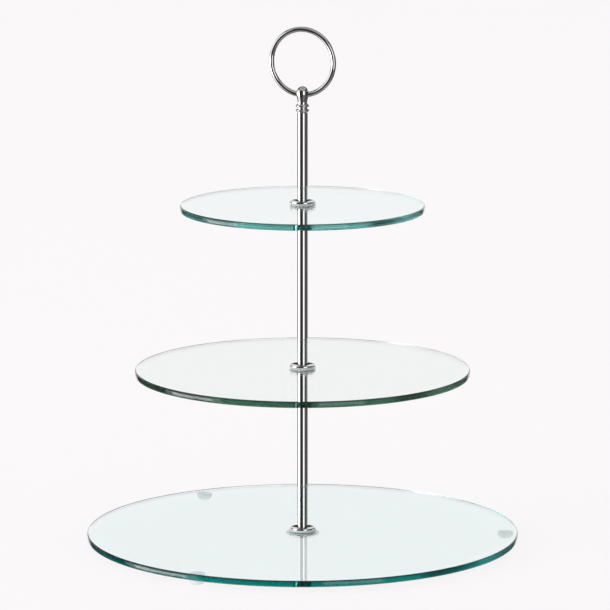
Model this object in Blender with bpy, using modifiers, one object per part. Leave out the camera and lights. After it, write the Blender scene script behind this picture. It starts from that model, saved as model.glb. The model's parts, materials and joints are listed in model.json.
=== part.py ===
"""A three-tier cake stand: round glass plates on a chromed column, with a ring handle.

Metres, +Z up. The origin is on the table, under the centre of the column.
The column is three hollow rods. Between the rods, each plate is clamped by two
flanges on clear gaskets, round a stud that joins the rods through the plate's hole.
"""

import math

import bmesh
import bpy
from mathutils import Matrix, Vector

# Driving dimensions
GAP = 0.0003  # kept between pieces that touch

GLASS_THICKNESS = 0.005
PLATE_RADIUS = {"bottom": 0.175, "middle": 0.1355, "top": 0.0986}
TIER_PITCH = 0.134
PLATE_HOLE_RADIUS = 0.005
PLATE_RIM_ROUNDING = 0.0014

FOOT_HEIGHT = 0.0047
FOOT_RADIUS = 0.00635
FOOT_FLAT_RADIUS = 0.0026
FOOT_CIRCLE_RADIUS = 0.165
FOOT_ANGLES = {"right": 0.0, "back_left": 120.0, "front_left": 240.0}

ROD_RADIUS = 0.00425
ROD_WALL = 0.0008
INSERT_LENGTH = 0.014
THREAD_RADIUS = 0.002
THREAD_BORE_RADIUS = THREAD_RADIUS + GAP
THREAD_ENGAGEMENT = 0.0095
THREAD_CHAMFER = 0.0004

FLANGE_RADIUS = {"bottom": 0.0096, "middle": 0.0101, "top": 0.0102}
FLANGE_HEIGHT = 0.0011
FLANGE_CREST_WIDTH = 0.0005
DISH_RADIUS = 0.0047
DISH_FLOOR = 0.00035
LOWER_FLANGE_RADIUS = 0.0066
LOWER_FLANGE_HEIGHT = 0.0007
GASKET_HOLE_RADIUS = 0.0053
GASKET_RADIUS = {"bottom": 0.0107, "middle": 0.0105, "top": 0.0105}
GASKET_THICKNESS = {"bottom": 0.0011, "middle": 0.0017, "top": 0.0014}
LOWER_GASKET_RADIUS = {"bottom": 0.0134, "middle": 0.0106, "top": 0.0106}
LOWER_GASKET_THICKNESS = {"bottom": 0.0008, "middle": 0.0005, "top": 0.0005}

WASHER_RADIUS = 0.0066
WASHER_THICKNESS = 0.0008
SCREW_HEAD_RADIUS = 0.004
SCREW_HEAD_HEIGHT = 0.002
SCREW_HEAD_ROUNDING = 0.0012
SOCKET_WIDTH = 0.0025  # across the hexagon's flats
SOCKET_DEPTH = 0.0012

FINIAL_BASE = 0.3531
BEAD_RADIUS = 0.0055
BEAD_HALF_HEIGHT = 0.0012
BEAD_HEIGHTS = (0.3545, 0.3583)
GROOVE_RADIUS = 0.0039
NECK_RADIUS = 0.0038
NECK_TOP = 0.3612
BULB_RADIUS = 0.005
BULB_HEIGHT = 0.3688
FINIAL_BORE_DEPTH = 0.0085

RING_RADIUS = 0.0263  # to the middle of the wire
RING_WIRE_RADIUS = 0.0021
RING_CENTRE_HEIGHT = 0.3933
RING_TURN = math.radians(-20.0)
CROSS_HOLE_RADIUS = 0.0027

# Derived places
PLATE_UNDERSIDE = FOOT_HEIGHT + GAP
PLATE_TOP = {
    tier: PLATE_UNDERSIDE + GLASS_THICKNESS + index * TIER_PITCH
    for index, tier in enumerate(("bottom", "middle", "top"))
}
ROD_BORE_RADIUS = ROD_RADIUS - ROD_WALL
# The wire bows across the bulb, so the axis that it swings on is half the bow above it.
WIRE_BOW = RING_RADIUS - math.sqrt(RING_RADIUS**2 - BULB_RADIUS**2)
RING_AXIS_HEIGHT = RING_CENTRE_HEIGHT - RING_RADIUS + WIRE_BOW / 2

# How finely round shapes are cut; each is a multiple of four
PLATE_STEPS = 64
SMALL_STEPS = 24
FINIAL_STEPS = 32
RING_STEPS = 48
RING_WIRE_STEPS = 12
SHARP_ANGLE = math.radians(35.0)


def new_collection(name, hidden=False):
    collection = bpy.data.collections.new(name)
    collection.hide_render = hidden
    bpy.context.scene.collection.children.link(collection)
    return collection


def new_material(name, colour, roughness, metallic=0.0, transmission=0.0):
    material = bpy.data.materials.new(name)
    material.use_nodes = True
    shader = material.node_tree.nodes["Principled BSDF"]
    shader.inputs["Base Color"].default_value = (*colour, 1.0)
    shader.inputs["Roughness"].default_value = roughness
    shader.inputs["Metallic"].default_value = metallic
    shader.inputs["Transmission Weight"].default_value = transmission
    material.diffuse_color = (*colour, 1.0)
    return material


def place(mesh, name, material, collection, location=(0, 0, 0)):
    """Puts a mesh in the scene as a smooth-shaded object with one material."""
    mesh.shade_smooth()
    mesh.set_sharp_from_angle(angle=SHARP_ANGLE)
    mesh.materials.append(material)
    obj = bpy.data.objects.new(name, mesh)
    obj.location = location
    collection.objects.link(obj)
    return obj


def rounded(corners, steps=1):
    """The outline through corners (x, z, radius), with an arc of that radius at each."""
    outline = []
    for index, (x, z, radius) in enumerate(corners):
        corner = Vector((x, z))
        if radius == 0:
            outline.append(corner)
            continue
        before = (Vector(corners[index - 1][:2]) - corner).normalized()
        after = (Vector(corners[(index + 1) % len(corners)][:2]) - corner).normalized()
        half = before.angle(after) / 2
        centre = corner + (before + after).normalized() * radius / math.sin(half)
        start = corner + before * radius / math.tan(half) - centre
        end = corner + after * radius / math.tan(half) - centre
        sweep = -start.angle_signed(end)
        for step in range(steps + 1):
            outline.append(centre + Matrix.Rotation(sweep * step / steps, 2) @ start)
    return outline


def turned(outline, steps, closed=True):
    """A mesh turned about Z from an outline of (x, z) that runs down its outer side."""
    profile = bpy.data.meshes.new("profile")
    count = len(outline)
    edges = [(i, (i + 1) % count) for i in range(count if closed else count - 1)]
    profile.from_pydata([(x, 0.0, z) for x, z in outline], edges, [])
    blank = bpy.data.objects.new("profile", profile)
    bpy.context.scene.collection.objects.link(blank)
    screw = blank.modifiers.new("Screw", "SCREW")
    screw.steps = steps
    screw.render_steps = steps
    screw.use_merge_vertices = True
    screw.merge_threshold = 0.00005
    graph = bpy.context.evaluated_depsgraph_get()
    mesh = bpy.data.meshes.new_from_object(blank.evaluated_get(graph))
    bpy.data.objects.remove(blank)
    bpy.data.meshes.remove(profile)
    return mesh


def ring_outline(inner, outer, bottom, top):
    """The outline of a flat ring, sleeve or tube."""
    return [(inner, top), (outer, top), (outer, bottom), (inner, bottom)]


def arc(centre_x, centre_z, radius_x, radius_z, start, end, steps):
    """Points on an ellipse's arc, from one angle to the other, in degrees."""
    angles = [math.radians(start + (end - start) * i / steps) for i in range(steps + 1)]
    return [(centre_x + radius_x * math.cos(a), centre_z + radius_z * math.sin(a)) for a in angles]


def make_plate(tier, material, collection):
    radius = PLATE_RADIUS[tier]
    outline = rounded(
        [
            (PLATE_HOLE_RADIUS, 0.0, 0.0),
            (radius, 0.0, PLATE_RIM_ROUNDING),
            (radius, -GLASS_THICKNESS, PLATE_RIM_ROUNDING),
            (PLATE_HOLE_RADIUS, -GLASS_THICKNESS, 0.0),
        ],
        steps=2,
    )
    mesh = turned(outline, PLATE_STEPS)
    place(mesh, f"{tier}_plate", material, collection, (0, 0, PLATE_TOP[tier]))


def make_feet(material, collection):
    dome = arc(
        FOOT_FLAT_RADIUS, FOOT_HEIGHT, FOOT_RADIUS - FOOT_FLAT_RADIUS, FOOT_HEIGHT, 0, -90, 5
    )
    outline = [(0.0, FOOT_HEIGHT), *dome, (0.0, 0.0)]
    for side, angle in FOOT_ANGLES.items():
        centre = Matrix.Rotation(math.radians(angle), 3, "Z") @ Vector((FOOT_CIRCLE_RADIUS, 0, 0))
        mesh = turned(outline, SMALL_STEPS, closed=False)
        place(mesh, f"foot_{side}", material, collection, centre)


def make_flange(name, tier, material, collection, bottom):
    """The disc above a plate. Its top is a shallow dish that the rod stands in."""
    radius = FLANGE_RADIUS[tier]
    outline = rounded(
        [
            (THREAD_BORE_RADIUS, DISH_FLOOR, 0.0),
            (DISH_RADIUS, DISH_FLOOR, 0.0),
            (radius - FLANGE_CREST_WIDTH, FLANGE_HEIGHT, 0.0),
            (radius, FLANGE_HEIGHT, 0.0002),
            (radius, 0.0, 0.0),
            (THREAD_BORE_RADIUS, 0.0, 0.0),
        ]
    )
    place(turned(outline, SMALL_STEPS), name, material, collection, (0, 0, bottom))


def make_lower_flange(name, material, collection, top):
    """The plain disc under a plate, which rests on the end of the rod."""
    outline = rounded(
        [
            (THREAD_BORE_RADIUS, 0.0, 0.0),
            (LOWER_FLANGE_RADIUS, 0.0, 0.00015),
            (LOWER_FLANGE_RADIUS, -LOWER_FLANGE_HEIGHT, 0.00025),
            (THREAD_BORE_RADIUS, -LOWER_FLANGE_HEIGHT, 0.0),
        ]
    )
    place(turned(outline, SMALL_STEPS), name, material, collection, (0, 0, top))


def make_gasket(name, material, collection, bottom, radius, thickness):
    """A clear washer between a flange and the glass."""
    outline = ring_outline(GASKET_HOLE_RADIUS, radius, 0.0, thickness)
    place(turned(outline, SMALL_STEPS), name, material, collection, (0, 0, bottom))


def make_bush(tier, material, collection):
    """The sleeve that centres a plate's hole on the thread."""
    inner, outer = THREAD_BORE_RADIUS + GAP, PLATE_HOLE_RADIUS - GAP
    outline = ring_outline(inner, outer, -GLASS_THICKNESS, 0.0)
    name = "base_bush" if tier == "bottom" else f"{tier}_bush"
    place(turned(outline, SMALL_STEPS), name, material, collection, (0, 0, PLATE_TOP[tier]))


def flange_bottom(tier):
    """Where the flange above a plate starts, on its gasket."""
    return PLATE_TOP[tier] + GAP + GASKET_THICKNESS[tier] + GAP


def lower_gasket_bottom(tier):
    return PLATE_TOP[tier] - GLASS_THICKNESS - GAP - LOWER_GASKET_THICKNESS[tier]


def make_clamp(tier, materials, collection):
    """What holds a plate on the column: flanges, gaskets and the bush in its hole."""
    name = "base" if tier == "bottom" else tier
    make_bush(tier, materials["nylon"], collection)
    make_gasket(
        f"{name}_gasket_above",
        materials["silicone"],
        collection,
        PLATE_TOP[tier] + GAP,
        GASKET_RADIUS[tier],
        GASKET_THICKNESS[tier],
    )
    make_gasket(
        f"{name}_gasket_below",
        materials["silicone"],
        collection,
        lower_gasket_bottom(tier),
        LOWER_GASKET_RADIUS[tier],
        LOWER_GASKET_THICKNESS[tier],
    )
    if tier == "bottom":
        make_flange("base_flange", tier, materials["chrome"], collection, flange_bottom(tier))
        return
    make_flange(f"{tier}_flange_above", tier, materials["chrome"], collection, flange_bottom(tier))
    lower_top = lower_gasket_bottom(tier) - GAP
    make_lower_flange(f"{tier}_flange_below", materials["chrome"], collection, lower_top)


def rod_start(tier):
    """The height where the rod above a plate starts, in its flange's dish."""
    return flange_bottom(tier) + DISH_FLOOR + GAP


def rod_end(tier):
    """The height where the rod below a plate ends, under the lower flange."""
    return lower_gasket_bottom(tier) - GAP - LOWER_FLANGE_HEIGHT - GAP


def make_rod(name, start, end, materials, collection):
    """A hollow rod with a threaded insert in each end."""
    tube = ring_outline(ROD_BORE_RADIUS, ROD_RADIUS, 0.0, end - start)
    place(turned(tube, SMALL_STEPS), name, materials["chrome"], collection, (0, 0, start))
    insert = ring_outline(THREAD_BORE_RADIUS, ROD_BORE_RADIUS - GAP, 0.0, INSERT_LENGTH)
    for side, bottom in (("base", start), ("top", end - INSERT_LENGTH)):
        mesh = turned(insert, SMALL_STEPS)
        place(mesh, f"{name}_{side}_insert", materials["steel"], collection, (0, 0, bottom))


def make_stud(name, bottom, top, material, collection):
    length = top - bottom
    tip = THREAD_RADIUS - THREAD_CHAMFER
    outline = [
        (0.0, length),
        (tip, length),
        (THREAD_RADIUS, length - THREAD_CHAMFER),
        (THREAD_RADIUS, THREAD_CHAMFER),
        (tip, 0.0),
        (0.0, 0.0),
    ]
    mesh = turned(outline, SMALL_STEPS, closed=False)
    place(mesh, name, material, collection, (0, 0, bottom))


def make_base_fastener(material, collection, cutters):
    """The washer and the socket screw that close the column under the bottom plate."""
    washer_top = lower_gasket_bottom("bottom") - GAP
    washer = ring_outline(THREAD_BORE_RADIUS, WASHER_RADIUS, -WASHER_THICKNESS, 0.0)
    mesh = turned(washer, SMALL_STEPS)
    place(mesh, "base_washer", material, collection, (0, 0, washer_top))

    head_top = washer_top - WASHER_THICKNESS - GAP
    tip_height = rod_start("bottom") + THREAD_ENGAGEMENT - head_top
    head_side = arc(
        SCREW_HEAD_RADIUS - SCREW_HEAD_ROUNDING,
        SCREW_HEAD_ROUNDING - SCREW_HEAD_HEIGHT,
        SCREW_HEAD_ROUNDING,
        SCREW_HEAD_ROUNDING,
        0,
        -90,
        3,
    )
    outline = [
        (0.0, tip_height),
        (THREAD_RADIUS - THREAD_CHAMFER, tip_height),
        (THREAD_RADIUS, tip_height - THREAD_CHAMFER),
        (THREAD_RADIUS, 0.0),
        (SCREW_HEAD_RADIUS, 0.0),
        *head_side,
        (0.0, -SCREW_HEAD_HEIGHT),
    ]
    mesh = turned(outline, SMALL_STEPS, closed=False)
    screw = place(mesh, "base_screw", material, collection, (0, 0, head_top))

    depth = 2 * SOCKET_DEPTH
    bpy.ops.mesh.primitive_cylinder_add(
        vertices=6,
        radius=SOCKET_WIDTH / math.sqrt(3),
        depth=depth,
        location=(0, 0, head_top - SCREW_HEAD_HEIGHT),
    )
    cut(screw, bpy.context.active_object, "screw_socket_cutter", cutters)


def cut(obj, cutter, name, cutters):
    """Takes the cutter away from the object, and hides it among the cutters."""
    cutter.name = name
    cutter.hide_render = True
    cutter.display_type = "WIRE"
    for collection in cutter.users_collection:
        collection.objects.unlink(cutter)
    cutters.objects.link(cutter)
    boolean = obj.modifiers.new(name, "BOOLEAN")
    boolean.operation = "DIFFERENCE"
    boolean.solver = "EXACT"
    boolean.object = cutter


def finial_outline():
    """From the bulb's crown down the bulb, the neck and the two beads, and up the bore."""
    crown = arc(0.0, BULB_HEIGHT, BULB_RADIUS, BULB_RADIUS, 90, 0, 7)
    crown[0] = (0.0, BULB_HEIGHT + BULB_RADIUS)
    taper_height = BULB_HEIGHT - NECK_TOP
    taper_steps = 5
    taper = []
    for step in range(1, taper_steps + 1):
        fall = step / taper_steps
        swell = math.sin(math.pi / 2 * (1 - fall) ** 1.2)
        radius = NECK_RADIUS + (BULB_RADIUS - NECK_RADIUS) * swell
        taper.append((radius, BULB_HEIGHT - fall * taper_height))
    beads = []
    for height in reversed(BEAD_HEIGHTS):
        depth = BEAD_RADIUS - GROOVE_RADIUS
        beads += arc(GROOVE_RADIUS, height, depth, BEAD_HALF_HEIGHT, 90, -90, 6)
    bore_top = FINIAL_BASE + FINIAL_BORE_DEPTH
    base = [
        (GROOVE_RADIUS, FINIAL_BASE),
        (THREAD_BORE_RADIUS, FINIAL_BASE),
        (THREAD_BORE_RADIUS, bore_top),
        (0.0, bore_top),
    ]
    return [(x, z - FINIAL_BASE) for x, z in crown + taper + beads + base]


def make_finial(material, collection, cutters):
    mesh = turned(finial_outline(), FINIAL_STEPS, closed=False)
    finial = place(mesh, "finial", material, collection, (0, 0, FINIAL_BASE))
    bpy.ops.mesh.primitive_cylinder_add(
        vertices=24,
        radius=CROSS_HOLE_RADIUS,
        depth=4 * BULB_RADIUS,
        location=(0, 0, RING_AXIS_HEIGHT),
        rotation=(0, math.pi / 2, RING_TURN),
    )
    cut(finial, bpy.context.active_object, "finial_cross_hole_cutter", cutters)


def make_handle_ring(material, collection):
    """The ring stands up through the bulb; its origin is on the axis that it swings on."""
    bpy.ops.mesh.primitive_torus_add(
        major_segments=RING_STEPS,
        minor_segments=RING_WIRE_STEPS,
        major_radius=RING_RADIUS,
        minor_radius=RING_WIRE_RADIUS,
    )
    blank = bpy.context.active_object
    mesh = blank.data
    bpy.data.objects.remove(blank)
    rise = RING_CENTRE_HEIGHT - RING_AXIS_HEIGHT
    mesh.transform(Matrix.Translation((0, 0, rise)) @ Matrix.Rotation(math.pi / 2, 4, "X"))
    ring = place(mesh, "handle_ring", material, collection, (0, 0, RING_AXIS_HEIGHT))
    ring.rotation_euler.z = RING_TURN


def main():
    for obj in list(bpy.data.objects):
        bpy.data.objects.remove(obj)
    parts = new_collection("tiered_cake_stand")
    cutters = new_collection("cutters", hidden=True)
    materials = {
        "glass": new_material("glass", (0.86, 0.95, 0.93), 0.02, transmission=1.0),
        "chrome": new_material("chrome", (0.78, 0.78, 0.79), 0.05, metallic=1.0),
        "silicone": new_material("silicone", (0.85, 0.86, 0.86), 0.25, transmission=0.8),
        "nylon": new_material("nylon", (0.80, 0.81, 0.80), 0.45),
        "steel": new_material("steel", (0.55, 0.56, 0.57), 0.3, metallic=1.0),
    }

    for tier in PLATE_RADIUS:
        make_plate(tier, materials["glass"], parts)
        make_clamp(tier, materials, parts)
    make_feet(materials["silicone"], parts)

    make_rod("lower_rod", rod_start("bottom"), rod_end("middle"), materials, parts)
    make_rod("upper_rod", rod_start("middle"), rod_end("top"), materials, parts)
    make_rod("handle_rod", rod_start("top"), FINIAL_BASE - GAP, materials, parts)

    for tier in ("middle", "top"):
        bottom = rod_end(tier) - THREAD_ENGAGEMENT
        top = rod_start(tier) + THREAD_ENGAGEMENT
        make_stud(f"{tier}_stud", bottom, top, materials["steel"], parts)
    stud_bottom = FINIAL_BASE - GAP - THREAD_ENGAGEMENT
    stud_top = FINIAL_BASE + FINIAL_BORE_DEPTH - GAP
    make_stud("finial_stud", stud_bottom, stud_top, materials["steel"], parts)
    make_base_fastener(materials["steel"], parts, cutters)

    make_finial(materials["chrome"], parts, cutters)
    make_handle_ring(materials["chrome"], parts)


main()
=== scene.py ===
import json
import math

import bmesh
import bpy
from mathutils import Matrix, Vector

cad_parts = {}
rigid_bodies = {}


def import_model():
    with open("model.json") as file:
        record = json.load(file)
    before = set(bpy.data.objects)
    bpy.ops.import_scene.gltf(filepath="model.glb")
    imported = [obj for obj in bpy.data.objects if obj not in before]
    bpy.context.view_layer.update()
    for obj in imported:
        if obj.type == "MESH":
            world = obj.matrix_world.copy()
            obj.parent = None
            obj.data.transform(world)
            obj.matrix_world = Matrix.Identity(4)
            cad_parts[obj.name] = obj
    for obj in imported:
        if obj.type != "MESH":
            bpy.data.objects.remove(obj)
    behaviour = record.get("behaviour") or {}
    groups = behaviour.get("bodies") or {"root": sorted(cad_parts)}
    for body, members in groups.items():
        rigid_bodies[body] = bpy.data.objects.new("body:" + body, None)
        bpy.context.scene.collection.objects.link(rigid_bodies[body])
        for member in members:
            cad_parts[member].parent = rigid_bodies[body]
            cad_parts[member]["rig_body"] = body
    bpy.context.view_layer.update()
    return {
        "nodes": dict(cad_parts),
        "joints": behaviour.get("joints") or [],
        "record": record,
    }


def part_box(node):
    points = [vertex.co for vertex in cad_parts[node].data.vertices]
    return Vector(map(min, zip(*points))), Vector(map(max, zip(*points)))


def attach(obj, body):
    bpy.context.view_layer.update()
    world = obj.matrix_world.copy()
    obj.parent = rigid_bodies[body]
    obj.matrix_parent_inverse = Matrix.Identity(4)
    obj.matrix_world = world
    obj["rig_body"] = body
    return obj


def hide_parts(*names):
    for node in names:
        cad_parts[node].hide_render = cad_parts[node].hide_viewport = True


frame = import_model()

# Camera: in front of the stand, above the height of its top and looking slightly down
CAMERA_PLACE = (0.0020, -3.799, 0.892)
CAMERA_PITCH = math.radians(10.38)
CAMERA_LENS = 282.9  # mm
CAMERA_SENSOR = 36.0  # mm
CAMERA_REACH = 100.0

# Floor and lamp
FLOOR_SIZE = 60.0
FLOOR_COLOUR = (0.948, 0.93, 0.94)
TABLE_GLOW = 0.9  # the share of the floor's brightness that is its own, as on a light table
GLOW_UNDER_GLASS = 0.14  # what is added to it where it is seen through a plate
SIDE_LIGHT_PLACE = (-5.2, -1.4, 2.0)
SIDE_LIGHT_SIZE = 2.0
SIDE_LIGHT_POWER = 150.0

# The studio all round, as it is seen, and below that what the chrome and the glass reflect.
# Azimuths to the right of the camera, heights above the horizon and blurs are in degrees.
STUDIO_WHITE = (0.985, 0.98, 0.985)
ROOM_DARK = 0.035

# Each softbox is its span of azimuth, its span of height and its brightness.
SOFTBOXES = (
    ((-107.0, -57.0), (-36.0, 34.0), 1.25),
    ((-100.0, -64.0), (-20.0, -3.0), 4.5),
    ((11.0, 43.0), (-18.0, 34.0), 1.45),
    ((-180.0, -118.0), (-40.0, 30.0), 0.03),
    ((11.0, 43.0), (-60.0, -21.0), 0.2),
    ((43.0, 110.0), (-30.0, 28.0), 0.07),
    ((110.0, 180.0), (-30.0, 3.0), 0.08),
)
SOFTBOX_SIDE_BLUR = 2.0
SOFTBOX_END_BLUR = 3.0

# The span of height over which each of these fades in, and what it adds
CEILING = ((38.0, 50.0), 0.5)
ZENITH = ((60.0, 80.0), -0.18)
TABLE = ((-25.0, -60.0), 0.3)
# The ceiling also fades in from the back of the room, by how far a direction points to the camera.
CEILING_START = (-0.75, -0.45)

# The white backdrop behind the stand lights the plates' upper faces and their rims. Each part of
# it is its span of azimuth to each side of straight behind, its span of height and its brightness.
BACKDROPS = (
    (24.0, (-24.0, 4.0), 1.2),
    (74.0, (3.0, 17.0), 0.9),
)
BACKDROP_SIDE_BLUR = 4.0
BACKDROP_END_BLUR = 2.0

# Just where the plates' upper faces reflect it, the backdrop darkens with height. With the brighter
# table under the glass, that keeps the column's reflection in the plates faint.
SHADED_WIDTH = 7.0
SHADED_SIDE_BLUR = 2.0
SHADED_HEIGHTS = (2.0, 19.0)
SHADED_DEPTH = 0.19

LIGHT_BOUNCES = 32
CLEAR_BOUNCES = 16

# For each slot of glass: the material's name, the colour of light that has crossed it, and how
# strongly it colours
GLASSES = {
    "bottom_glass": ("bottom_tier_glass", (0.0, 0.72, 0.70), 14.4),
    "middle_glass": ("middle_tier_glass", (0.0, 0.37, 0.22), 10.8),
    "top_glass": ("top_tier_glass", (0.0, 0.60, 0.55), 10.2),
}
CHROME_TINTS = ((0.70, 0.695, 0.68), (0.76, 0.755, 0.745))
STEEL_TINTS = ((0.46, 0.47, 0.50), (0.66, 0.66, 0.65))
NYLON_TINTS = ((0.90, 0.91, 0.89), (0.96, 0.96, 0.95))
SILICONE_COLOUR = (0.82, 0.96, 0.93)

# Pieces, in metres, where a node's box doesn't say
PLATE_HOLE_RADIUS = 0.005
RIM_ROUNDING = 0.0011
RIM_CROWN = 0.00012
HOLE_BEVEL = 0.0002
FLAT_BORDER = 0.0005
ROD_WALL = 0.0008
END_ROUNDING = 0.0002

THREAD_RADIUS = 0.002
THREAD_PITCH = 0.0007
THREAD_DEPTH = 0.00043
THREAD_CHAMFER = 0.0005
CREST_END = 0.15  # of the pitch
ROOT_START = 0.45  # of the pitch
ROOT_END = 0.7  # of the pitch
BORE_RADIUS = 0.0023
BORE_THREAD_DEPTH = 0.0002
COUNTERSINK = 0.0003
INSERT_GROOVE = 0.00015

CLAMP_GAP = 0.00028  # what a gasket fills above and below itself
FLANGE_CREST_WIDTH = 0.0005
FLANGE_CREST_ROUNDING = 0.0008
FLANGE_EDGE_ROUNDING = 0.0002
FLANGE_FOOT_ROUNDING = 0.0001
DISH_RADIUS = 0.0047
DISH_FLOOR = 0.00035
DISH_ROUNDING = 0.0003
LOWER_FLANGE_ROUNDING = 0.0003
GASKET_HOLE_RADIUS = 0.0053
GASKET_ROUNDING = 0.00035
BUSH_BORE_RADIUS = 0.0026
BUSH_WAIST = 0.0001
FOOT_FLAT_RADIUS = 0.0026
FOOT_HOLLOW_RADIUS = 0.7 * FOOT_FLAT_RADIUS
FOOT_HOLLOW = 0.0003

SCREW_HEAD_HEIGHT = 0.002
SCREW_HEAD_ROUNDING = 0.0013
SOCKET_WIDTH = 0.0025  # across the hexagon's flats
SOCKET_DEPTH = 0.0012
SOCKET_BEVEL = 0.00012

BEAD_HALF_HEIGHT = 0.0012
BEAD_HEIGHTS = (0.3545, 0.3583)
GROOVE_RADIUS = 0.0039
NECK_RADIUS = 0.0038
NECK_TOP = 0.3612
NECK_CURVE = 1.2
BULB_RADIUS = 0.005
BULB_HEIGHT = 0.3688
FINIAL_BORE_DEPTH = 0.0085
CROSS_HOLE_RADIUS = 0.0027
CROSS_HOLE_MOUTH = 0.65  # of the bulb's radius, from where the hole widens
CROSS_HOLE_FLARE = 0.002  # how strongly it widens
RING_WIRE_RADIUS = 0.0021

# How many sides the turned pieces have, and how many steps two curves of the finial
PLATE_SIDES = 360
RING_SIDES = 224
COLUMN_SIDES = 128
SMALL_SIDES = 96
CROSS_HOLE_SIDES = 64
THREAD_SIDES = 48
NECK_STEPS = 20
CROSS_HOLE_STEPS = 16

SHARP_ANGLE = math.radians(38.0)
SHADING_BORDER = 0.00002
MERGE_DISTANCE = 0.000001

SLOTS = {part["node"]: part["material_slot"] for part in frame["record"]["subparts"]}


def node_size(name):
    """A node's radius from the column's axis, its bottom and its top."""
    low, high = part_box(name)
    return (high.x - low.x) / 2, low.z, high.z


class Nodes:
    """A short way to add and join shader nodes."""

    def __init__(self, tree):
        self.tree = tree

    def add(self, kind, **settings):
        node = self.tree.nodes.new(kind)
        for name, value in settings.items():
            setattr(node, name, value)
        return node

    def put(self, socket, value):
        """Links an output to the socket, or sets it to a constant."""
        if isinstance(value, bpy.types.NodeSocket):
            self.tree.links.new(value, socket)
        else:
            socket.default_value = value

    def math(self, operation, *values):
        node = self.add("ShaderNodeMath", operation=operation)
        for socket, value in zip(node.inputs, values):
            self.put(socket, value)
        return node.outputs[0]

    def step(self, value, start, end):
        """0 at start, 1 at end, and smooth between."""
        node = self.add("ShaderNodeMapRange", interpolation_type="SMOOTHSTEP")
        self.put(node.inputs["Value"], value)
        node.inputs["From Min"].default_value = start
        node.inputs["From Max"].default_value = end
        return node.outputs[0]

    def window(self, value, low, high, blur):
        """1 between low and high, and 0 outside."""
        rise = self.step(value, low - blur, low + blur)
        fall = self.step(value, high - blur, high + blur)
        return self.math("SUBTRACT", rise, fall)

    def mix(self, factor, first, second):
        """A colour from first to second."""
        node = self.add("ShaderNodeMix", data_type="RGBA")
        self.put(node.inputs[0], factor)
        self.put(node.inputs[6], first)
        self.put(node.inputs[7], second)
        return node.outputs[2]


# Studio


def add_camera():
    camera = bpy.data.objects.new("camera", bpy.data.cameras.new("camera"))
    camera.data.lens = CAMERA_LENS
    camera.data.sensor_width = CAMERA_SENSOR
    camera.data.clip_end = CAMERA_REACH
    camera.location = CAMERA_PLACE
    camera.rotation_euler = (math.pi / 2 - CAMERA_PITCH, 0.0, 0.0)
    bpy.context.scene.collection.objects.link(camera)
    bpy.context.scene.camera = camera


def direction_angles(nodes):
    """How far a direction points to the camera, its azimuth and its height."""
    direction = nodes.add("ShaderNodeTexCoord").outputs["Generated"]
    parts = nodes.add("ShaderNodeSeparateXYZ")
    nodes.put(parts.inputs[0], direction)
    toward = nodes.math("MULTIPLY", parts.outputs["Y"], -1.0)
    turn = nodes.math("ARCTAN2", parts.outputs["X"], toward)
    azimuth = nodes.math("MULTIPLY", turn, math.degrees(1.0))
    rise = nodes.math("ARCSINE", parts.outputs["Z"])
    height = nodes.math("MULTIPLY", rise, math.degrees(1.0))
    return toward, azimuth, height


def room_light(nodes, toward, azimuth, height):
    """The dark room with its softboxes, its ceiling and its table."""
    light = ROOM_DARK
    for azimuths, heights, brightness in SOFTBOXES:
        across = nodes.window(azimuth, *azimuths, SOFTBOX_SIDE_BLUR)
        upward = nodes.window(height, *heights, SOFTBOX_END_BLUR)
        softbox = nodes.math("MULTIPLY", across, upward)
        light = nodes.math("MULTIPLY_ADD", softbox, brightness, light)
    heights, brightness = CEILING
    start = nodes.step(toward, *CEILING_START)
    ceiling = nodes.math("MULTIPLY", start, nodes.step(height, *heights))
    light = nodes.math("MULTIPLY_ADD", ceiling, brightness, light)
    for heights, brightness in (ZENITH, TABLE):
        light = nodes.math("MULTIPLY_ADD", nodes.step(height, *heights), brightness, light)
    return light


def backdrop_over(nodes, light, azimuth, height):
    """The light, or the backdrop where that is brighter."""
    aside = nodes.math("SUBTRACT", 180.0, nodes.math("ABSOLUTE", azimuth))
    behind = nodes.step(aside, SHADED_WIDTH + SHADED_SIDE_BLUR, SHADED_WIDTH - SHADED_SIDE_BLUR)
    shade = nodes.math("MULTIPLY", behind, nodes.step(height, *SHADED_HEIGHTS))
    shade = nodes.math("MULTIPLY_ADD", shade, -SHADED_DEPTH, 1.0)
    for width, heights, brightness in BACKDROPS:
        across = nodes.step(aside, width + BACKDROP_SIDE_BLUR, width - BACKDROP_SIDE_BLUR)
        upward = nodes.window(height, *heights, BACKDROP_END_BLUR)
        backdrop = nodes.math("MULTIPLY", across, upward)
        backdrop = nodes.math("MULTIPLY", backdrop, shade)
        backdrop = nodes.math("MULTIPLY", backdrop, brightness)
        light = nodes.math("MAXIMUM", light, backdrop)
    return light


def add_world():
    """A plain bright studio; only what is reflected shows its softboxes and its dark room."""
    world = bpy.data.worlds.new("studio")
    bpy.context.scene.world = world
    world.use_nodes = True
    nodes = Nodes(world.node_tree)
    toward, azimuth, height = direction_angles(nodes)
    light = room_light(nodes, toward, azimuth, height)
    light = backdrop_over(nodes, light, azimuth, height)
    reflected = nodes.add("ShaderNodeCombineColor")
    for socket in reflected.inputs:
        nodes.put(socket, light)
    depth = nodes.add("ShaderNodeLightPath").outputs["Glossy Depth"]
    is_reflected = nodes.math("MINIMUM", depth, 1.0)
    colour = nodes.mix(is_reflected, (*STUDIO_WHITE, 1.0), reflected.outputs[0])
    nodes.put(world.node_tree.nodes["Background"].inputs["Color"], colour)


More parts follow.
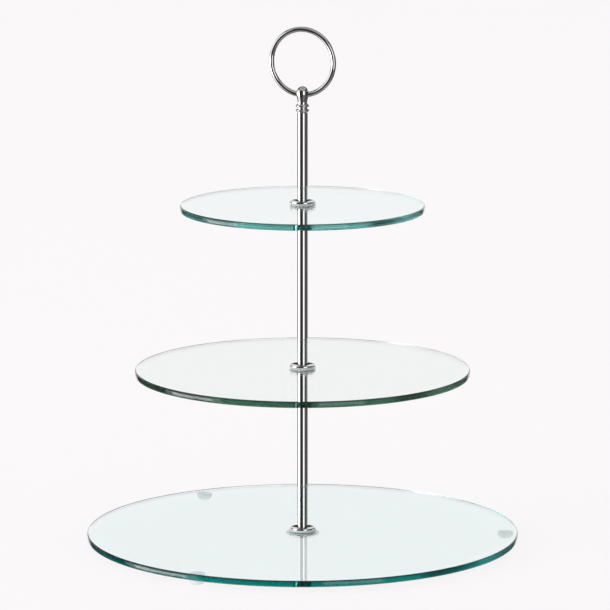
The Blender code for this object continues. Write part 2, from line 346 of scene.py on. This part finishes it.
def floor_material():
    """Paper on a light table, which glows a little more where it is seen through glass.

    It's clear from below, and to what the stand reflects.
    """
    material = bpy.data.materials.new("floor")
    material.use_nodes = True
    nodes = Nodes(material.node_tree)
    material.node_tree.nodes.clear()
    paper = nodes.add("ShaderNodeBsdfDiffuse")
    paper.inputs["Color"].default_value = (*[c * (1 - TABLE_GLOW) for c in FLOOR_COLOUR], 1.0)
    glow = nodes.add("ShaderNodeEmission")
    glow.inputs["Color"].default_value = (*FLOOR_COLOUR, 1.0)
    path = nodes.add("ShaderNodeLightPath")
    extra = nodes.math("MULTIPLY", path.outputs["Is Transmission Ray"], GLOW_UNDER_GLASS)
    nodes.put(glow.inputs["Strength"], nodes.math("ADD", extra, TABLE_GLOW))
    table = nodes.add("ShaderNodeAddShader")
    nodes.put(table.inputs[0], paper.outputs[0])
    nodes.put(table.inputs[1], glow.outputs[0])
    clear = nodes.add("ShaderNodeBsdfTransparent")
    below = nodes.add("ShaderNodeNewGeometry").outputs["Backfacing"]
    unseen = nodes.math("ADD", path.outputs["Glossy Depth"], below)
    mix = nodes.add("ShaderNodeMixShader")
    nodes.put(mix.inputs[0], nodes.math("MINIMUM", unseen, 1.0))
    nodes.put(mix.inputs[1], table.outputs[0])
    nodes.put(mix.inputs[2], clear.outputs[0])
    output = nodes.add("ShaderNodeOutputMaterial")
    nodes.put(output.inputs["Surface"], mix.outputs[0])
    return material


def add_floor():
    mesh = bpy.data.meshes.new("floor")
    shape = bmesh.new()
    bmesh.ops.create_grid(shape, x_segments=1, y_segments=1, size=FLOOR_SIZE / 2)
    shape.to_mesh(mesh)
    shape.free()
    floor = bpy.data.objects.new("floor", mesh)
    bpy.context.scene.collection.objects.link(floor)
    mesh.materials.append(floor_material())


def add_side_light():
    """A soft light from the left, for what is neither polished nor clear."""
    lamp = bpy.data.lights.new("side_light", "AREA")
    lamp.size = SIDE_LIGHT_SIZE
    lamp.energy = SIDE_LIGHT_POWER
    light = bpy.data.objects.new("side_light", lamp)
    light.location = SIDE_LIGHT_PLACE
    light.rotation_euler = (-Vector(SIDE_LIGHT_PLACE)).to_track_quat("-Z", "Y").to_euler()
    light.visible_glossy = False
    light.visible_camera = False
    bpy.context.scene.collection.objects.link(light)


def set_light_paths():
    """Enough bounces for light to cross all the glass, and colours shown as they are."""
    scene = bpy.context.scene
    scene.view_settings.view_transform = "Standard"
    scene.cycles.max_bounces = LIGHT_BOUNCES
    scene.cycles.transmission_bounces = LIGHT_BOUNCES
    scene.cycles.glossy_bounces = LIGHT_BOUNCES
    scene.cycles.transparent_max_bounces = CLEAR_BOUNCES


# Materials


def new_material(name):
    """A material, its nodes and its shader."""
    material = bpy.data.materials.new(name)
    material.use_nodes = True
    nodes = Nodes(material.node_tree)
    return material, nodes, material.node_tree.nodes["Principled BSDF"]


def object_noise(nodes, scale, detail=3.0):
    """Noise that keeps its place on the piece."""
    place = nodes.add("ShaderNodeTexCoord").outputs["Object"]
    noise = nodes.add("ShaderNodeTexNoise")
    nodes.put(noise.inputs["Vector"], place)
    noise.inputs["Scale"].default_value = scale
    noise.inputs["Detail"].default_value = detail
    return noise.outputs["Fac"]


def vary_colour(nodes, shader, noise, tints):
    first, second = tints
    tint = nodes.mix(noise, (*first, 1.0), (*second, 1.0))
    nodes.put(shader.inputs["Base Color"], tint)


def vary_roughness(nodes, shader, noise, low, high):
    node = nodes.add("ShaderNodeMapRange")
    nodes.put(node.inputs["Value"], noise)
    node.inputs["To Min"].default_value = low
    node.inputs["To Max"].default_value = high
    nodes.put(shader.inputs["Roughness"], node.outputs[0])


def bump(nodes, shader, height, strength, distance):
    node = nodes.add("ShaderNodeBump")
    nodes.put(node.inputs["Height"], height)
    node.inputs["Strength"].default_value = strength
    node.inputs["Distance"].default_value = distance
    nodes.put(shader.inputs["Normal"], node.outputs[0])


def glass_material(name, colour, density):
    """Float glass: clear across its thickness, and coloured through its width."""
    material, nodes, shader = new_material(name)
    shader.inputs["Base Color"].default_value = (1.0, 1.0, 1.0, 1.0)
    shader.inputs["IOR"].default_value = 1.52
    shader.inputs["Transmission Weight"].default_value = 1.0
    smears = object_noise(nodes, scale=60.0)
    vary_roughness(nodes, shader, smears, low=0.0, high=0.004)
    volume = nodes.add("ShaderNodeVolumeAbsorption")
    volume.inputs["Color"].default_value = (*colour, 1.0)
    volume.inputs["Density"].default_value = density
    output = material.node_tree.nodes["Material Output"]
    nodes.put(output.inputs["Volume"], volume.outputs[0])
    return material


def chrome_material():
    """Polished chrome, with faint patches of handling."""
    material, nodes, shader = new_material("polished_chrome")
    shader.inputs["Metallic"].default_value = 1.0
    patches = object_noise(nodes, scale=180.0)
    vary_colour(nodes, shader, patches, CHROME_TINTS)
    vary_roughness(nodes, shader, patches, low=0.015, high=0.06)
    return material


def steel_material():
    """Zinc-plated steel, for what the column hides."""
    material, nodes, shader = new_material("zinc_plated_steel")
    shader.inputs["Metallic"].default_value = 1.0
    spangle = object_noise(nodes, scale=900.0, detail=4.0)
    vary_colour(nodes, shader, spangle, STEEL_TINTS)
    vary_roughness(nodes, shader, spangle, low=0.22, high=0.42)
    bump(nodes, shader, spangle, strength=0.2, distance=0.00005)
    return material


def silicone_material():
    """Soft rubber, clear enough for light to spread inside it."""
    material, nodes, shader = new_material("soft_clear_silicone")
    shader.inputs["Base Color"].default_value = (*SILICONE_COLOUR, 1.0)
    shader.inputs["IOR"].default_value = 1.41
    shader.inputs["Transmission Weight"].default_value = 0.1
    shader.inputs["Subsurface Weight"].default_value = 1.0
    shader.inputs["Subsurface Radius"].default_value = (1.0, 1.0, 1.0)
    shader.inputs["Subsurface Scale"].default_value = 0.006
    cloud = object_noise(nodes, scale=300.0)
    vary_roughness(nodes, shader, cloud, low=0.12, high=0.22)
    return material


def nylon_material():
    """Milky plastic that lets some light through."""
    material, nodes, shader = new_material("natural_nylon")
    shader.inputs["IOR"].default_value = 1.53
    shader.inputs["Transmission Weight"].default_value = 0.8
    grain = object_noise(nodes, scale=1500.0)
    vary_colour(nodes, shader, grain, NYLON_TINTS)
    vary_roughness(nodes, shader, grain, low=0.35, high=0.5)
    bump(nodes, shader, grain, strength=0.2, distance=0.00003)
    return material


# Shapes


def rounded(corners, steps):
    """The outline through corners (x, z, radius), with an arc of that radius at each.

    A narrow border on each side of an arc keeps its smooth shading off the flat faces.
    """
    outline = []
    for index, (x, z, radius) in enumerate(corners):
        corner = Vector((x, z))
        if radius == 0:
            outline.append(corner)
            continue
        before = (Vector(corners[index - 1][:2]) - corner).normalized()
        after = (Vector(corners[(index + 1) % len(corners)][:2]) - corner).normalized()
        half = before.angle(after) / 2
        centre = corner + (before + after).normalized() * radius / math.sin(half)
        reach = radius / math.tan(half)
        start = corner + before * reach - centre
        end = corner + after * reach - centre
        sweep = -start.angle_signed(end)
        outline.append(corner + before * (reach + SHADING_BORDER))
        for step in range(steps + 1):
            outline.append(centre + Matrix.Rotation(sweep * step / steps, 2) @ start)
        outline.append(corner + after * (reach + SHADING_BORDER))
    return outline


def arc(centre_x, centre_z, radius_x, radius_z, start, end, steps):
    """Points on an ellipse's arc, from one angle to the other, in degrees."""
    points = []
    for step in range(steps + 1):
        angle = math.radians(start + (end - start) * step / steps)
        x = centre_x + radius_x * math.cos(angle)
        z = centre_z + radius_z * math.sin(angle)
        points.append(Vector((x, z)))
    return points


def wrapped(rows, steps):
    """A closed mesh round Z from rows of (radius, height), each row a function of the angle."""
    mesh = bpy.data.meshes.new("wrapped")
    shape = bmesh.new()
    angles = [math.tau * step / steps for step in range(steps + 1)]
    grid = []
    for row in rows:
        spots = [(angle, *row(angle)) for angle in angles]
        points = [(r * math.cos(a), r * math.sin(a), z) for a, r, z in spots]
        grid.append([shape.verts.new(point) for point in points])
    for upper, lower in zip(grid, grid[1:]):
        for i in range(steps):
            shape.faces.new((upper[i], upper[i + 1], lower[i + 1], lower[i]))
    bmesh.ops.remove_doubles(shape, verts=shape.verts, dist=MERGE_DISTANCE)
    bmesh.ops.recalc_face_normals(shape, faces=shape.faces)
    shape.to_mesh(mesh)
    shape.free()
    return mesh


def even(x, z):
    """A row that is the same at every angle."""
    return lambda angle: (x, z)


def turned(outline, steps, closed=True):
    """A mesh turned about Z from an outline of (x, z). One that isn't closed ends on the axis."""
    rows = [even(x, z) for x, z in outline]
    if closed:
        rows.append(rows[0])
    return wrapped(rows, steps)


def groove(phase):
    """How far down a screw thread's groove is, from 0 on the crest to 1 at the root."""
    share = phase % 1.0
    if share < CREST_END:
        return 0.0
    if share < ROOT_START:
        return (share - CREST_END) / (ROOT_START - CREST_END)
    if share < ROOT_END:
        return 1.0
    return (1.0 - share) / (1.0 - ROOT_END)


def thread_rows(low, high, radius_at):
    """Rows down a screw thread. radius_at gives the radius for a groove's depth and a height.

    A row climbs one pitch on its way round, and stays level where it reaches an end.
    """
    rows = []
    for turn in range(math.ceil((high - low) / THREAD_PITCH) + 1, -1, -1):
        for share in (ROOT_END, ROOT_START, CREST_END, 0.0):

            def row(angle, lead=turn - 1 + share):
                height = low + (lead + angle / math.tau) * THREAD_PITCH
                height = min(max(height, low), high)
                phase = (height - low) / THREAD_PITCH - angle / math.tau
                return radius_at(groove(phase), height), height

            rows.append(row)
    return rows


def without(mesh, cutter):
    """The mesh that is left when the cutter is taken away."""
    body = bpy.data.objects.new("body", mesh)
    tool = bpy.data.objects.new("tool", cutter)
    for obj in (body, tool):
        bpy.context.scene.collection.objects.link(obj)
    boolean = body.modifiers.new("cut", "BOOLEAN")
    boolean.operation = "DIFFERENCE"
    boolean.object = tool
    graph = bpy.context.evaluated_depsgraph_get()
    result = bpy.data.meshes.new_from_object(body.evaluated_get(graph))
    bpy.data.objects.remove(body)
    bpy.data.objects.remove(tool)
    return result


def stand_in(node, mesh, material, location):
    """Shows a finer piece in place of a CAD node, on the same body and slot."""
    mesh.shade_smooth()
    mesh.set_sharp_from_angle(angle=SHARP_ANGLE)
    mesh.materials.clear()
    mesh.materials.append(material)
    piece = bpy.data.objects.new(f"{node}_fine", mesh)
    bpy.context.scene.collection.objects.link(piece)
    piece.location = location
    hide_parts(node)
    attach(piece, frame["nodes"][node]["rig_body"])


# Pieces


def make_plate(node, material):
    """A glass tier. Its rim bulges a little between two rounded edges."""
    radius, bottom, top = node_size(node)
    thickness = top - bottom
    flat = radius - RIM_CROWN
    crown_height = thickness / 2 - RIM_ROUNDING
    crown = arc(flat, -thickness / 2, RIM_CROWN, crown_height, start=60, end=-60, steps=6)
    corner = flat - RIM_ROUNDING
    upper = arc(corner, -RIM_ROUNDING, RIM_ROUNDING, RIM_ROUNDING, start=90, end=8, steps=8)
    lower = [Vector((x, -thickness - z)) for x, z in reversed(upper)]
    edge = corner - FLAT_BORDER
    hole = PLATE_HOLE_RADIUS + HOLE_BEVEL + FLAT_BORDER
    corners = [
        (edge, -thickness, 0.0),
        (hole, -thickness, 0.0),
        (PLATE_HOLE_RADIUS, -thickness, HOLE_BEVEL),
        (PLATE_HOLE_RADIUS, 0.0, HOLE_BEVEL),
        (hole, 0.0, 0.0),
        (edge, 0.0, 0.0),
    ]
    outline = upper + crown + lower + rounded(corners, steps=2)
    stand_in(node, turned(outline, PLATE_SIDES), material, (0, 0, top))


def make_rod(node, material):
    """A tube, with its outer edges broken."""
    radius, bottom, top = node_size(node)
    length = top - bottom
    inner = radius - ROD_WALL
    corners = [
        (inner, length, 0.0),
        (radius, length, END_ROUNDING),
        (radius, 0.0, END_ROUNDING),
        (inner, 0.0, 0.0),
    ]
    outline = rounded(corners, steps=3)
    stand_in(node, turned(outline, COLUMN_SIDES), material, (0, 0, bottom))


def make_insert(node, material):
    """A threaded sleeve in a rod's end, with a groove round its middle."""
    radius, bottom, top = node_size(node)
    length = top - bottom
    crest = BORE_RADIUS - BORE_THREAD_DEPTH

    def bore(depth, height):
        mouth = COUNTERSINK - min(height, length - height)
        return crest + max(BORE_THREAD_DEPTH * depth, mouth)

    middle = length / 2
    groove_edge = 3 * INSERT_GROOVE
    groove_floor = 2 * INSERT_GROOVE
    outside = [
        (radius - END_ROUNDING, length),
        (radius, length - END_ROUNDING),
        (radius, middle + groove_edge),
        (radius - INSERT_GROOVE, middle + groove_floor),
        (radius - INSERT_GROOVE, middle - groove_floor),
        (radius, middle - groove_edge),
        (radius, END_ROUNDING),
        (radius - END_ROUNDING, 0.0),
    ]
    rows = [even(x, z) for x, z in outside]
    rows += reversed(thread_rows(0.0, length, bore))
    rows.append(rows[0])
    stand_in(node, wrapped(rows, THREAD_SIDES), material, (0, 0, bottom))


def make_stud(node, material):
    """A headless screw that joins two rods, or a rod and the finial."""
    radius, bottom, top = node_size(node)
    length = top - bottom
    tip = radius - THREAD_CHAMFER

    def side(depth, height):
        return min(radius - THREAD_DEPTH * depth, tip + min(height, length - height))

    rows = [even(0.0, length), *thread_rows(0.0, length, side), even(0.0, 0.0)]
    stand_in(node, wrapped(rows, THREAD_SIDES), material, (0, 0, bottom))


def make_base_screw(node, material):
    """A button-head screw, driven from below through a hexagon socket."""
    head_radius, bottom, top = node_size(node)
    head_top = bottom + SCREW_HEAD_HEIGHT
    length = top - head_top
    tip = THREAD_RADIUS - THREAD_CHAMFER

    def side(depth, height):
        """The thread fades out just above the head."""
        depth *= min(1.0, 2 * height / THREAD_PITCH)
        return min(THREAD_RADIUS - THREAD_DEPTH * depth, tip + length - height)

    def hexagon(extra, height):
        """A row along the socket's six sides, moved out by extra."""
        sector = math.tau / 6
        reach = SOCKET_WIDTH / 2 + extra
        return lambda angle: (reach / math.cos(angle % sector - sector / 2), height)

    under = -SCREW_HEAD_HEIGHT
    rounding = SCREW_HEAD_ROUNDING
    corner = head_radius - rounding
    dome = arc(corner, under + rounding, rounding, rounding, start=0, end=-90, steps=10)
    rows = [even(0.0, length), *thread_rows(0.0, length, side)]
    rows += [even(head_radius - SOCKET_BEVEL, 0.0), even(head_radius, -SOCKET_BEVEL)]
    rows += [even(x, z) for x, z in dome]
    rows += [
        hexagon(SOCKET_BEVEL, under),
        hexagon(0.0, under + SOCKET_BEVEL),
        hexagon(0.0, under + SOCKET_DEPTH),
        even(0.0, under + SOCKET_DEPTH + COUNTERSINK),
    ]
    stand_in(node, wrapped(rows, SMALL_SIDES), material, (0, 0, head_top))


def make_washer(node, material):
    """A flat ring, with its edges rounded."""
    radius, bottom, top = node_size(node)
    height = top - bottom
    places = [(BORE_RADIUS, height), (radius, height), (radius, 0.0), (BORE_RADIUS, 0.0)]
    outline = rounded([(x, z, END_ROUNDING) for x, z in places], steps=3)
    stand_in(node, turned(outline, SMALL_SIDES), material, (0, 0, bottom))


def make_flange(node, material):
    """A clamp disc. The ones above the plates are dished, and the rod stands in the dish."""
    radius, bottom, top = node_size(node)
    height = top - bottom
    if node.endswith("below"):
        corners = [
            (BORE_RADIUS, height, 0.0),
            (radius, height, FLANGE_EDGE_ROUNDING),
            (radius, 0.0, LOWER_FLANGE_ROUNDING),
            (BORE_RADIUS, 0.0, 0.0),
        ]
    else:
        corners = [
            (BORE_RADIUS, DISH_FLOOR, 0.0),
            (DISH_RADIUS, DISH_FLOOR, DISH_ROUNDING),
            (radius - FLANGE_CREST_WIDTH, height, FLANGE_CREST_ROUNDING),
            (radius, height, FLANGE_EDGE_ROUNDING),
            (radius, 0.0, FLANGE_FOOT_ROUNDING),
            (BORE_RADIUS, 0.0, 0.0),
        ]
    outline = rounded(corners, steps=6)
    stand_in(node, turned(outline, COLUMN_SIDES), material, (0, 0, bottom))


def make_gasket(node, material):
    """A clear washer, squeezed against the glass and the flange."""
    radius, bottom, top = node_size(node)
    low = -CLAMP_GAP
    high = top - bottom + CLAMP_GAP
    corners = [
        (GASKET_HOLE_RADIUS, high, 0.0),
        (radius, high, GASKET_ROUNDING),
        (radius, low, GASKET_ROUNDING),
        (GASKET_HOLE_RADIUS, low, 0.0),
    ]
    outline = rounded(corners, steps=5)
    stand_in(node, turned(outline, SMALL_SIDES), material, (0, 0, bottom))


def make_bush(node, material):
    """The sleeve that centres a plate's hole on the thread, with a slight waist."""
    radius, bottom, top = node_size(node)
    length = top - bottom
    corners = [
        (BUSH_BORE_RADIUS, length, END_ROUNDING),
        (radius, length, END_ROUNDING),
        (radius - BUSH_WAIST, length / 2, 0.0),
        (radius, 0.0, END_ROUNDING),
        (BUSH_BORE_RADIUS, 0.0, END_ROUNDING),
    ]
    outline = rounded(corners, steps=3)
    stand_in(node, turned(outline, SMALL_SIDES), material, (0, 0, bottom))


def make_foot(node, material):
    """A clear dome stuck under the bottom plate, a little hollow where it stands."""
    low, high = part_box(node)
    centre = (low + high) / 2
    radius = (high.x - low.x) / 2
    height = high.z - low.z
    width = radius - FOOT_FLAT_RADIUS
    side = arc(FOOT_FLAT_RADIUS, height, width, height, start=0, end=-90, steps=16)
    sole = arc(0.0, 0.0, FOOT_HOLLOW_RADIUS, FOOT_HOLLOW, start=0, end=90, steps=4)[:-1]
    top = [Vector((0.0, height)), Vector((radius - END_ROUNDING, height))]
    outline = [*top, *side, *sole, Vector((0.0, FOOT_HOLLOW))]
    mesh = turned(outline, SMALL_SIDES, closed=False)
    stand_in(node, mesh, material, (centre.x, centre.y, low.z))


def finial_outline(base):
    """From the bulb's crown down the bulb, the neck and the two beads, and up the bore."""
    crown = arc(0.0, BULB_HEIGHT, BULB_RADIUS, BULB_RADIUS, start=90, end=0, steps=24)
    crown[0] = Vector((0.0, BULB_HEIGHT + BULB_RADIUS))
    taper = []
    for step in range(1, NECK_STEPS + 1):
        fall = step / NECK_STEPS
        swell = math.sin(math.pi / 2 * (1 - fall) ** NECK_CURVE)
        radius = NECK_RADIUS + (BULB_RADIUS - NECK_RADIUS) * swell
        taper.append(Vector((radius, BULB_HEIGHT - fall * (BULB_HEIGHT - NECK_TOP))))
    bead = node_size("finial")[0] - GROOVE_RADIUS
    beads = []
    for height in reversed(BEAD_HEIGHTS):
        beads += arc(GROOVE_RADIUS, height, bead, BEAD_HALF_HEIGHT, start=90, end=-90, steps=20)
    bore_top = base + FINIAL_BORE_DEPTH
    foot = [(GROOVE_RADIUS, base), (BORE_RADIUS, base), (BORE_RADIUS, bore_top), (0.0, bore_top)]
    outline = crown + taper + beads + [Vector(point) for point in foot]
    return [(x, z - base) for x, z in outline]


def ring_joint():
    """The hinge of the handle ring: a point on it and its direction."""
    joint = next(joint for joint in frame["joints"] if joint["child"] == "ring")
    return Vector(joint["pos_m"]), Vector(joint["axis"]).normalized()


def make_finial(node, material):
    """The turned knob. The cross hole that the ring passes through has rounded mouths."""
    bottom = node_size(node)[1]
    pivot, axis = ring_joint()
    reach = 2 * BULB_RADIUS
    side = []
    for step in range(CROSS_HOLE_STEPS + 1):
        along = reach * (1 - 2 * step / CROSS_HOLE_STEPS)
        flare = max(0.0, abs(along) - CROSS_HOLE_MOUTH * BULB_RADIUS) / BULB_RADIUS
        side.append(Vector((CROSS_HOLE_RADIUS + CROSS_HOLE_FLARE * flare**2, along)))
    outline = [Vector((0.0, reach)), *side, Vector((0.0, -reach))]
    cutter = turned(outline, CROSS_HOLE_SIDES, closed=False)
    turn = axis.to_track_quat("Z", "Y").to_matrix().to_4x4()
    cutter.transform(Matrix.Translation(pivot - Vector((0, 0, bottom))) @ turn)
    knob = turned(finial_outline(bottom), COLUMN_SIDES, closed=False)
    stand_in(node, without(knob, cutter), material, (0, 0, bottom))


def make_handle_ring(node, material):
    """A closed ring of round wire, turned about Z and then set across its hinge."""
    low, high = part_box(node)
    axis = ring_joint()[1]
    radius = (high.z - low.z) / 2 - RING_WIRE_RADIUS
    wire = RING_WIRE_RADIUS
    outline = arc(radius, 0.0, wire, wire, start=180, end=-180, steps=32)[:-1]
    mesh = turned(outline, RING_SIDES)
    upright = Vector((0, 0, 1))
    turn = Matrix((axis, upright, axis.cross(upright))).transposed().to_4x4()
    mesh.transform(turn)
    stand_in(node, mesh, material, (low + high) / 2)


MAKERS = {
    "plate": make_plate,
    "rod": make_rod,
    "insert": make_insert,
    "stud": make_stud,
    "screw": make_base_screw,
    "washer": make_washer,
    "flange": make_flange,
    "gasket": make_gasket,
    "bush": make_bush,
    "foot": make_foot,
    "finial": make_finial,
    "ring": make_handle_ring,
}


def maker_of(node):
    """The function that makes a node's piece, by the last word of its name that has one."""
    return next(MAKERS[word] for word in reversed(node.split("_")) if word in MAKERS)


def main():
    add_camera()
    add_world()
    add_floor()
    add_side_light()
    set_light_paths()
    materials = {
        "chrome": chrome_material(),
        "zinc_steel": steel_material(),
        "clear_silicone": silicone_material(),
        "nylon": nylon_material(),
    }
    for slot, look in GLASSES.items():
        materials[slot] = glass_material(*look)
    for node in frame["nodes"]:
        make = maker_of(node)
        make(node, materials[SLOTS[node]])


main()
